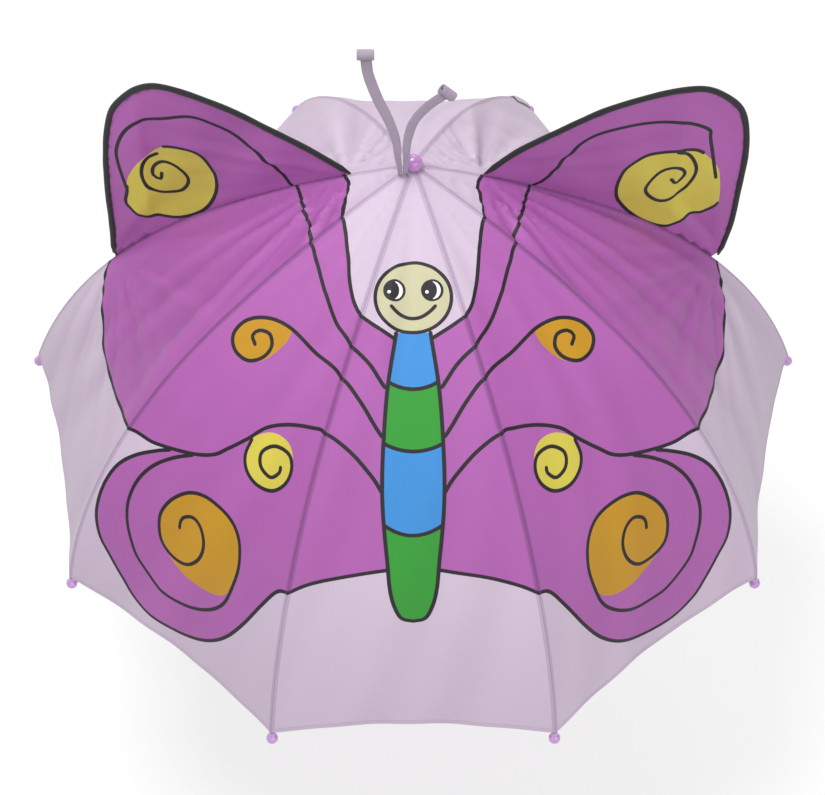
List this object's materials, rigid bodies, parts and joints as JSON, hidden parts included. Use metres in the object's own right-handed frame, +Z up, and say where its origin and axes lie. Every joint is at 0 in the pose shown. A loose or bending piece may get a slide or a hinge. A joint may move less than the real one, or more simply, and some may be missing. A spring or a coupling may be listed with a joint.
{
  "type": "child's umbrella",
  "caption": "Child's umbrella: sprung dome canopy with a butterfly, two boned wing fins, two feelers and a crook handle; a runner on the shaft opens and folds it.",
  "frame": {"origin": "the middle of the hand grip, on the shaft's axis", "axes": "+Z up along the shaft to the cap; -Y the canopy's front, where the butterfly's body is; +X to the right as seen from the front"},
  "size_m": [0.6458, 0.6499, 0.6912],
  "materials": {
    "lilac_fabric": "thin woven polyester, slightly sheer",
    "purple_fabric": "thin woven polyester, printed, two layers",
    "black_binding": "folded tape over a wire",
    "feeler_fabric": "grey lilac webbing, rolled at the end",
    "rib_steel": "drawn wire, bright",
    "shaft_steel": "plated tube",
    "hub_plastic": "moulded",
    "tip_plastic": "moulded, translucent lilac",
    "cap_plastic": "moulded, glossy purple",
    "handle_plastic": "moulded, glossy lilac"
  },
  "bodies": {
    "shaft": {"shaft_tube": "shaft_steel", "ferrule_cap": "cap_plastic", "top_notch": "hub_plastic", "notch_wire": "rib_steel", "stop_pin": "rib_steel", "handle": "handle_plastic", "handle_collar": "cap_plastic", "antenna_left": "feeler_fabric", "antenna_right": "feeler_fabric"},
    "rib_inner_1": {"rib_inner_1": "rib_steel", "canopy_panel_1": "lilac_fabric"},
    "rib_outer_1": {"rib_outer_1": "rib_steel", "rib_tip_1": "tip_plastic"},
    "stretcher_1": {"stretcher_1": "rib_steel"},
    "rib_inner_2": {"rib_inner_2": "rib_steel", "canopy_panel_2": "lilac_fabric"},
    "rib_outer_2": {"rib_outer_2": "rib_steel", "rib_tip_2": "tip_plastic"},
    "stretcher_2": {"stretcher_2": "rib_steel"},
    "rib_inner_3": {"rib_inner_3": "rib_steel", "canopy_panel_3": "lilac_fabric", "wing_right": "purple_fabric", "wing_binding_right": "black_binding"},
    "rib_outer_3": {"rib_outer_3": "rib_steel", "rib_tip_3": "tip_plastic"},
    "stretcher_3": {"stretcher_3": "rib_steel"},
    "rib_inner_4": {"rib_inner_4": "rib_steel", "canopy_panel_4": "lilac_fabric"},
    "rib_outer_4": {"rib_outer_4": "rib_steel", "rib_tip_4": "tip_plastic", "tie_strap": "lilac_fabric"},
    "stretcher_4": {"stretcher_4": "rib_steel"},
    "rib_inner_5": {"rib_inner_5": "rib_steel", "canopy_panel_5": "lilac_fabric"},
    "rib_outer_5": {"rib_outer_5": "rib_steel", "rib_tip_5": "tip_plastic"},
    "stretcher_5": {"stretcher_5": "rib_steel"},
    "rib_inner_6": {"rib_inner_6": "rib_steel", "canopy_panel_6": "lilac_fabric", "wing_left": "purple_fabric", "wing_binding_left": "black_binding"},
    "rib_outer_6": {"rib_outer_6": "rib_steel", "rib_tip_6": "tip_plastic"},
    "stretcher_6": {"stretcher_6": "rib_steel"},
    "rib_inner_7": {"rib_inner_7": "rib_steel", "canopy_panel_7": "lilac_fabric"},
    "rib_outer_7": {"rib_outer_7": "rib_steel", "rib_tip_7": "tip_plastic"},
    "stretcher_7": {"stretcher_7": "rib_steel"},
    "rib_inner_8": {"rib_inner_8": "rib_steel", "canopy_panel_8": "lilac_fabric"},
    "rib_outer_8": {"rib_outer_8": "rib_steel", "rib_tip_8": "tip_plastic"},
    "stretcher_8": {"stretcher_8": "rib_steel"},
    "runner": {"runner": "handle_plastic", "runner_wire": "rib_steel"},
    "upper_catch": {"upper_catch": "rib_steel"},
    "lower_catch": {"lower_catch": "rib_steel"}
  },
  "joints": [
    {"name": "canopy_fold", "type": "hinge", "parent": "shaft", "child": "rib_inner_1", "pos_m": [0.00263, -0.00721, 0.51215], "axis": [0.9397, 0.342, 0], "range_deg": [0, 57], "deforming": ["canopy_panel_1", "canopy_panel_2", "canopy_panel_3", "canopy_panel_4", "canopy_panel_5", "canopy_panel_6", "canopy_panel_7", "canopy_panel_8", "wing_right", "wing_binding_right", "wing_left", "wing_binding_left", "tie_strap"]},
    {"name": "rib_fold_2", "type": "hinge", "parent": "shaft", "child": "rib_inner_2", "pos_m": [0.00671, -0.00372, 0.51215], "axis": [0.4848, 0.8746, 0], "range_deg": [0, 57]},
    {"name": "rib_fold_3", "type": "hinge", "parent": "shaft", "child": "rib_inner_3", "pos_m": [0.00748, 0.00173, 0.51215], "axis": [-0.225, 0.9744, 0], "range_deg": [0, 57]},
    {"name": "rib_fold_4", "type": "hinge", "parent": "shaft", "child": "rib_inner_4", "pos_m": [0.00225, 0.00734, 0.51215], "axis": [-0.9563, 0.2924, 0], "range_deg": [0, 57]},
    {"name": "rib_fold_5", "type": "hinge", "parent": "shaft", "child": "rib_inner_5", "pos_m": [-0.00225, 0.00734, 0.51215], "axis": [-0.9563, -0.2924, 0], "range_deg": [0, 57]},
    {"name": "rib_fold_6", "type": "hinge", "parent": "shaft", "child": "rib_inner_6", "pos_m": [-0.00748, 0.00173, 0.51215], "axis": [-0.225, -0.9744, 0], "range_deg": [0, 57]},
    {"name": "rib_fold_7", "type": "hinge", "parent": "shaft", "child": "rib_inner_7", "pos_m": [-0.00671, -0.00372, 0.51215], "axis": [0.4848, -0.8746, 0], "range_deg": [0, 57]},
    {"name": "rib_fold_8", "type": "hinge", "parent": "shaft", "child": "rib_inner_8", "pos_m": [-0.00263, -0.00721, 0.51215], "axis": [0.9397, -0.342, 0], "range_deg": [0, 57]},
    {"name": "rib_flex_1", "type": "hinge", "parent": "rib_inner_1", "child": "rib_outer_1", "pos_m": [0.05659, -0.15549, 0.42863], "axis": [0.9397, 0.342, 0], "range_deg": [-27, 0]},
    {"name": "rib_flex_2", "type": "hinge", "parent": "rib_inner_2", "child": "rib_outer_2", "pos_m": [0.14472, -0.08022, 0.42863], "axis": [0.4848, 0.8746, 0], "range_deg": [-27, 0]},
    {"name": "rib_flex_3", "type": "hinge", "parent": "rib_inner_3", "child": "rib_outer_3", "pos_m": [0.16123, 0.03722, 0.42863], "axis": [-0.225, 0.9744, 0], "range_deg": [-22, 0]},
    {"name": "rib_flex_4", "type": "hinge", "parent": "rib_inner_4", "child": "rib_outer_4", "pos_m": [0.04838, 0.15824, 0.42863], "axis": [-0.9563, 0.2924, 0], "range_deg": [-11, 0]},
    {"name": "rib_flex_5", "type": "hinge", "parent": "rib_inner_5", "child": "rib_outer_5", "pos_m": [-0.04838, 0.15824, 0.42863], "axis": [-0.9563, -0.2924, 0], "range_deg": [-11, 0]},
    {"name": "rib_flex_6", "type": "hinge", "parent": "rib_inner_6", "child": "rib_outer_6", "pos_m": [-0.16123, 0.03722, 0.42863], "axis": [-0.225, -0.9744, 0], "range_deg": [-22, 0]},
    {"name": "rib_flex_7", "type": "hinge", "parent": "rib_inner_7", "child": "rib_outer_7", "pos_m": [-0.14472, -0.08022, 0.42863], "axis": [0.4848, -0.8746, 0], "range_deg": [-27, 0]},
    {"name": "rib_flex_8", "type": "hinge", "parent": "rib_inner_8", "child": "rib_outer_8", "pos_m": [-0.05659, -0.15549, 0.42863], "axis": [0.9397, -0.342, 0], "range_deg": [-27, 0]},
    {"name": "stretcher_hinge_1", "type": "hinge", "parent": "rib_inner_1", "child": "stretcher_1", "pos_m": [0.05659, -0.15549, 0.42863], "axis": [0.9397, 0.342, 0], "range_deg": [-114, 0]},
    {"name": "stretcher_hinge_2", "type": "hinge", "parent": "rib_inner_2", "child": "stretcher_2", "pos_m": [0.14472, -0.08022, 0.42863], "axis": [0.4848, 0.8746, 0], "range_deg": [-114, 0]},
    {"name": "stretcher_hinge_3", "type": "hinge", "parent": "rib_inner_3", "child": "stretcher_3", "pos_m": [0.16123, 0.03722, 0.42863], "axis": [-0.225, 0.9744, 0], "range_deg": [-114, 0]},
    {"name": "stretcher_hinge_4", "type": "hinge", "parent": "rib_inner_4", "child": "stretcher_4", "pos_m": [0.04838, 0.15824, 0.42863], "axis": [-0.9563, 0.2924, 0], "range_deg": [-114, 0]},
    {"name": "stretcher_hinge_5", "type": "hinge", "parent": "rib_inner_5", "child": "stretcher_5", "pos_m": [-0.04838, 0.15824, 0.42863], "axis": [-0.9563, -0.2924, 0], "range_deg": [-114, 0]},
    {"name": "stretcher_hinge_6", "type": "hinge", "parent": "rib_inner_6", "child": "stretcher_6", "pos_m": [-0.16123, 0.03722, 0.42863], "axis": [-0.225, -0.9744, 0], "range_deg": [-114, 0]},
    {"name": "stretcher_hinge_7", "type": "hinge", "parent": "rib_inner_7", "child": "stretcher_7", "pos_m": [-0.14472, -0.08022, 0.42863], "axis": [0.4848, -0.8746, 0], "range_deg": [-114, 0]},
    {"name": "stretcher_hinge_8", "type": "hinge", "parent": "rib_inner_8", "child": "stretcher_8", "pos_m": [-0.05659, -0.15549, 0.42863], "axis": [0.9397, -0.342, 0], "range_deg": [-114, 0]},
    {"name": "runner_link", "type": "hinge", "parent": "stretcher_1", "child": "runner", "pos_m": [0.00263, -0.00721, 0.34512], "axis": [0.9397, 0.342, 0], "range_deg": [0, 57]},
    {"name": "upper_catch_press", "type": "slide", "parent": "shaft", "child": "upper_catch", "axis": [-0.7314, -0.682, 0], "range_m": [0, 0.0026], "stiffness_N_per_m": 300, "springref_m": -0.001},
    {"name": "lower_catch_press", "type": "slide", "parent": "shaft", "child": "lower_catch", "axis": [-0.7314, -0.682, 0], "range_m": [0, 0.0026], "stiffness_N_per_m": 300, "springref_m": -0.001}
  ],
  "couplings": [
    {"joint": "rib_fold_2", "follows": "canopy_fold", "ratio": 1},
    {"joint": "rib_fold_3", "follows": "canopy_fold", "ratio": 1},
    {"joint": "rib_fold_4", "follows": "canopy_fold", "ratio": 1},
    {"joint": "rib_fold_5", "follows": "canopy_fold", "ratio": 1},
    {"joint": "rib_fold_6", "follows": "canopy_fold", "ratio": 1},
    {"joint": "rib_fold_7", "follows": "canopy_fold", "ratio": 1},
    {"joint": "rib_fold_8", "follows": "canopy_fold", "ratio": 1},
    {"joint": "rib_flex_1", "follows": "canopy_fold", "ratio": -0.4496},
    {"joint": "rib_flex_2", "follows": "canopy_fold", "ratio": -0.4496},
    {"joint": "rib_flex_3", "follows": "canopy_fold", "ratio": -0.3671},
    {"joint": "rib_flex_4", "follows": "canopy_fold", "ratio": -0.1713},
    {"joint": "rib_flex_5", "follows": "canopy_fold", "ratio": -0.1713},
    {"joint": "rib_flex_6", "follows": "canopy_fold", "ratio": -0.3671},
    {"joint": "rib_flex_7", "follows": "canopy_fold", "ratio": -0.4496},
    {"joint": "rib_flex_8", "follows": "canopy_fold", "ratio": -0.4496},
    {"joint": "stretcher_hinge_1", "follows": "canopy_fold", "ratio": -2},
    {"joint": "stretcher_hinge_2", "follows": "canopy_fold", "ratio": -2},
    {"joint": "stretcher_hinge_3", "follows": "canopy_fold", "ratio": -2},
    {"joint": "stretcher_hinge_4", "follows": "canopy_fold", "ratio": -2},
    {"joint": "stretcher_hinge_5", "follows": "canopy_fold", "ratio": -2},
    {"joint": "stretcher_hinge_6", "follows": "canopy_fold", "ratio": -2},
    {"joint": "stretcher_hinge_7", "follows": "canopy_fold", "ratio": -2},
    {"joint": "stretcher_hinge_8", "follows": "canopy_fold", "ratio": -2},
    {"joint": "runner_link", "follows": "canopy_fold", "ratio": 1}
  ]
}
